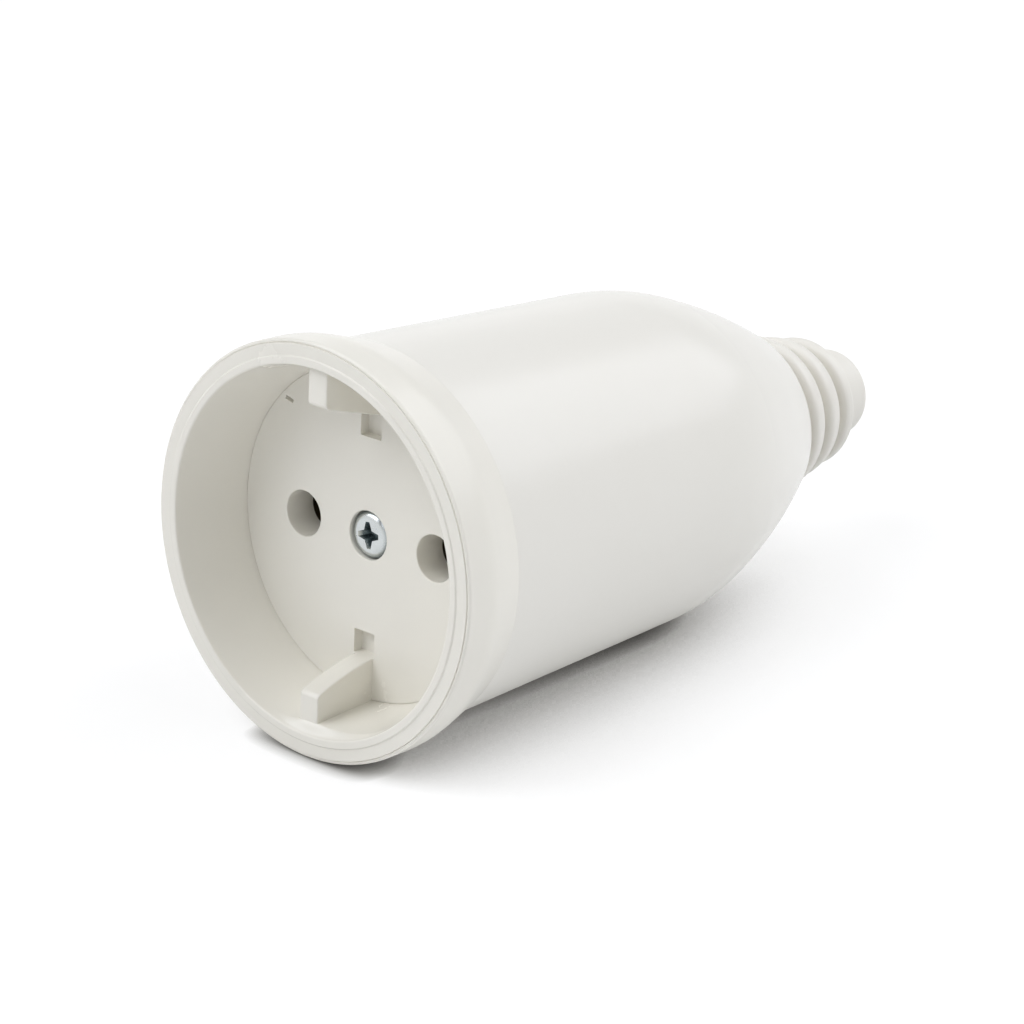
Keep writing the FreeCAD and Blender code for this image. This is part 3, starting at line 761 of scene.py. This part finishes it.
def plated_metal(name, pale, deep, roughness, streaks, head=None):
    """Plated or drawn metal: cloudy tone, uneven gloss, tool streaks, and painted shade below the top of a
    head.
    """
    painted_recess_shade = (0.13, 0.165, 0.175)
    recess_shade_start = 0.1 * mm
    recess_shade_end = 0.5 * mm
    recess_shade_share = 0.85
    material, start = new_material(name)
    place = start.node("ShaderNodeTexCoord", output="Object")
    cloud = start.node("ShaderNodeTexNoise", {"Vector": place, "Scale": 700.0, "Detail": 4.0})
    stretched = start.node("ShaderNodeMapping", {"Vector": place, "Scale": streaks})
    streak = start.node("ShaderNodeTexNoise", {"Vector": stretched, "Scale": 1.0, "Detail": 3.0})
    colour = cloud.mix((*pale, 1), (*deep, 1))
    # Painted shade: below the top of the head the colour darkens to grey, standing in for the shade in the
    # cross recess and down the head's side.
    if head is not None:
        along = start.node("ShaderNodeSeparateXYZ", {0: place}, output="Y")
        recess_shade_mask = along.ramp(head + recess_shade_start, head + recess_shade_end, 0.0, recess_shade_share)
        colour = recess_shade_mask.mix(colour, (*painted_recess_shade, 1))
    bump = start.node("ShaderNodeBump", {"Height": streak, "Strength": 1.0, "Distance": 0.000004})
    surface = start.node("ShaderNodeBsdfPrincipled", {
        "Base Color": colour,
        "Metallic": 1.0,
        "Roughness": (cloud - 0.5) * 0.2 + (streak - 0.5) * 0.1 + roughness,
        "Normal": bump,
    })
    start.node("ShaderNodeOutputMaterial", {"Surface": surface})
    return material


# The head's zinc carries painted shade in its cross recess and down its side.
head_zinc = plated_metal(
    "zinc_plated_head", pale=(0.66, 0.69, 0.69), deep=(0.54, 0.57, 0.57),
    roughness=0.24, streaks=(4000, 900, 4000), head=screw_low.y,
)
centre_screw.data.materials.clear()
centre_screw.data.materials.append(head_zinc)
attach(centre_screw, "root")
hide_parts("centre_screw")

# Hidden fittings: brass receptacles with spring clips, their terminal screws and plates, the nut
# and the cord clamp. They are turned, stamped and moulded parts that the shell encloses.
screw_zinc = plated_metal(
    "zinc_plated_screw", pale=(0.66, 0.68, 0.71), deep=(0.56, 0.58, 0.6),
    roughness=0.26, streaks=(4000, 900, 4000),
)
nut_zinc = plated_metal(
    "zinc_plated_nut", pale=(0.7, 0.71, 0.72), deep=(0.6, 0.61, 0.62),
    roughness=0.32, streaks=(900, 4000, 900),
)
contact_brass = plated_metal(
    "drawn_brass", pale=(0.78, 0.6, 0.28), deep=(0.68, 0.5, 0.22),
    roughness=0.34, streaks=(5000, 500, 5000),
)
spring_steel = plated_metal(
    "blued_spring_steel", pale=(0.5, 0.51, 0.54), deep=(0.38, 0.39, 0.43),
    roughness=0.36, streaks=(800, 5000, 800),
)
clamp_plastic = plastic(
    "off_white_clamp", pale=(0.83, 0.81, 0.76), deep=(0.81, 0.79, 0.735), roughness=0.4, peel=1.2,
)
fittings = {
    "centre_nut": nut_zinc,
    "cord_clamp": clamp_plastic,
    "clamp_screw_left": screw_zinc,
    "clamp_screw_right": screw_zinc,
    "terminal_screw_left": screw_zinc,
    "terminal_screw_right": screw_zinc,
    "terminal_plate_left": nut_zinc,
    "terminal_plate_right": nut_zinc,
    "contact_left": contact_brass,
    "contact_right": contact_brass,
    "contact_clip_left": spring_steel,
    "contact_clip_right": spring_steel,
}
for node, finish in fittings.items():
    for holder in bpy.data.objects[node].material_slots:
        holder.material = finish

# Stage: a pale floor under the socket, which leans because its collar is wider than its shoulder.
# The floor shows white to the camera. The socket's shadow on it is partly cast by the lamps and mostly
# painted into its
# colour and glow from occlusion: a thin dark line where the two touch and a softer shade beside it, on the
# side away from the key light.
lean = math.radians(3.706)
touch_along = 3.535
touch_height = 0.0173
floor_reach = 4.0
shape = bmesh.new()
floor_corners = []
for across, along in ((-1, -1), (1, -1), (1, 1), (-1, 1)):
    floor_corners.append(shape.verts.new((
        across * floor_reach,
        mouth + touch_along * mm + along * floor_reach * math.cos(lean),
        touch_height * mm + along * floor_reach * math.sin(lean),
    )))
shape.faces.new(floor_corners)
floor = as_piece("floor", shape)


def seen_rays(start):
    """One for the rays by which the camera sees a thing, straight or in a gloss, and nought for others."""
    ray = start.tree.nodes.new("ShaderNodeLightPath")
    seen = Wire(start.tree, ray.outputs["Is Camera Ray"])
    for kind in ("Is Glossy Ray", "Is Transmission Ray"):
        seen = seen.maths("MAXIMUM", seen, Wire(start.tree, ray.outputs[kind]))
    return seen


touch_reach = 2 * mm
touch_share = 0.95
nearby_reach = 30 * mm
nearby_fall = 5.0
nearby_share = 1.2
darkest_shade = 0.03
bounced_tone = 0.88
seen_tone = 0.3
seen_glow = 0.74
green_in_shade = 0.97
blue_in_shade = 0.9
floor_white, start = new_material("pale_floor")
seen = seen_rays(start)
# Painted shadow: occlusion darkens the floor's colour and glow, with a near reach for the touching line and
# a far reach about a normal leant towards the key light.
touching = 1 - start.node(
    "ShaderNodeAmbientOcclusion", {"Distance": touch_reach}, output="AO", samples=16,
)
key_side = start.node("ShaderNodeCombineXYZ", {"X": -0.45, "Y": -0.3, "Z": 0.84})
nearby = 1 - start.node(
    "ShaderNodeAmbientOcclusion", {"Distance": nearby_reach, "Normal": key_side}, output="AO", samples=16,
)
shade = (1 - touching * touch_share) * (1 - nearby ** nearby_fall * nearby_share)
shade = shade.maths("MAXIMUM", shade, darkest_shade)
tone = bounced_tone + seen * (shade * seen_tone - bounced_tone)
pale = start.node("ShaderNodeCombineColor", {"Red": tone, "Green": tone, "Blue": tone})
matt = start.node("ShaderNodeBsdfDiffuse", {"Color": pale})
warm = start.node("ShaderNodeCombineColor", {
    "Red": 1.0,
    "Green": shade * (1 - green_in_shade) + green_in_shade,
    "Blue": shade * (1 - blue_in_shade) + blue_in_shade,
})
glow = start.node("ShaderNodeEmission", {"Color": warm, "Strength": seen * shade * seen_glow})
both = start.node("ShaderNodeAddShader", {0: matt, 1: glow})
start.node("ShaderNodeOutputMaterial", {"Surface": both})
floor.data.materials.append(floor_white)

# Light: a room with a white backdrop all round and a dimmer ceiling, and four soft boxes in it.
# The key stands high at the left of the mouth, and the widest box behind draws the band along the body.
backdrop_top = 0.2
ceiling_start = 0.55
backdrop_light = 1.0
ceiling_light = 0.3
room_light = 0.19
world = bpy.data.worlds.new("white_room")
bpy.context.scene.world = world
world.use_nodes = True
world.node_tree.nodes.clear()
start = Wire(world.node_tree)
seen = seen_rays(start)
direction = start.node("ShaderNodeTexCoord", output="Generated")
lift = start.node("ShaderNodeSeparateXYZ", {0: direction}, output="Z")
backdrop = lift.ramp(backdrop_top, ceiling_start, backdrop_light, ceiling_light)
strength = room_light + seen * (backdrop - room_light)
room = start.node("ShaderNodeBackground", {"Color": (1, 1, 1, 1), "Strength": strength})
start.node("ShaderNodeOutputWorld", {"Surface": room})
aim = in_frame(0, 32.0, -2.5)
lamp_distance = 1.2
lamp_colour = (0.985, 1.0, 1.045)


def soft_box(name, azimuth, elevation, width, height, watts):
    """A rectangular soft box aimed at the socket, placed by its direction from it."""
    lamp = bpy.data.lights.new(name, "AREA")
    lamp.shape = "RECTANGLE"
    lamp.size = width
    lamp.size_y = height
    lamp.energy = watts
    lamp.color = lamp_colour
    box = bpy.data.objects.new(name, lamp)
    bpy.context.scene.collection.objects.link(box)
    turn = math.radians(azimuth)
    rise = math.radians(elevation)
    away = Vector((math.sin(turn) * math.cos(rise), -math.cos(turn) * math.cos(rise), math.sin(rise)))
    box.location = aim + away * lamp_distance
    box.rotation_euler = away.to_track_quat("Z", "Y").to_euler()


soft_box("key_box", azimuth=-36, elevation=46, width=1.0, height=1.0, watts=9.7)
soft_box("back_box", azimuth=150, elevation=43, width=1.2, height=0.95, watts=5.1)
soft_box("right_box", azimuth=115, elevation=55, width=0.8, height=0.8, watts=4.9)
soft_box("front_box", azimuth=33, elevation=36, width=0.5, height=0.5, watts=1.35)

# Camera: a long lens in front and to the right of the mouth, a little above and slightly rolled.
# Its place and focal length were fitted to the photograph.
azimuth = math.radians(40.51)
elevation = math.radians(18.64)
roll = math.radians(2.86)
camera_distance = 328.6 * mm
focal_pixels = 2982.0
picture_pixels = 1024
lens = bpy.data.cameras.new("long_lens")
lens.sensor_width = 36.0
lens.lens = focal_pixels / picture_pixels * lens.sensor_width
lens.clip_start = 0.01
lens.clip_end = 20.0
camera = bpy.data.objects.new("camera", lens)
bpy.context.scene.collection.objects.link(camera)
away = Vector((
    math.sin(azimuth) * math.cos(elevation), -math.cos(azimuth) * math.cos(elevation), math.sin(elevation),
))
level = Vector((math.cos(azimuth), math.sin(azimuth), 0))
upright = away.cross(level)
right = level * math.cos(roll) + upright * math.sin(roll)
above = upright * math.cos(roll) - level * math.sin(roll)
turned_to_socket = Matrix((right, above, away)).transposed().to_4x4()
camera.matrix_world = Matrix.Translation(aim + away * camera_distance) @ turned_to_socket
bpy.context.scene.camera = camera
bpy.context.scene.view_settings.view_transform = "Standard"
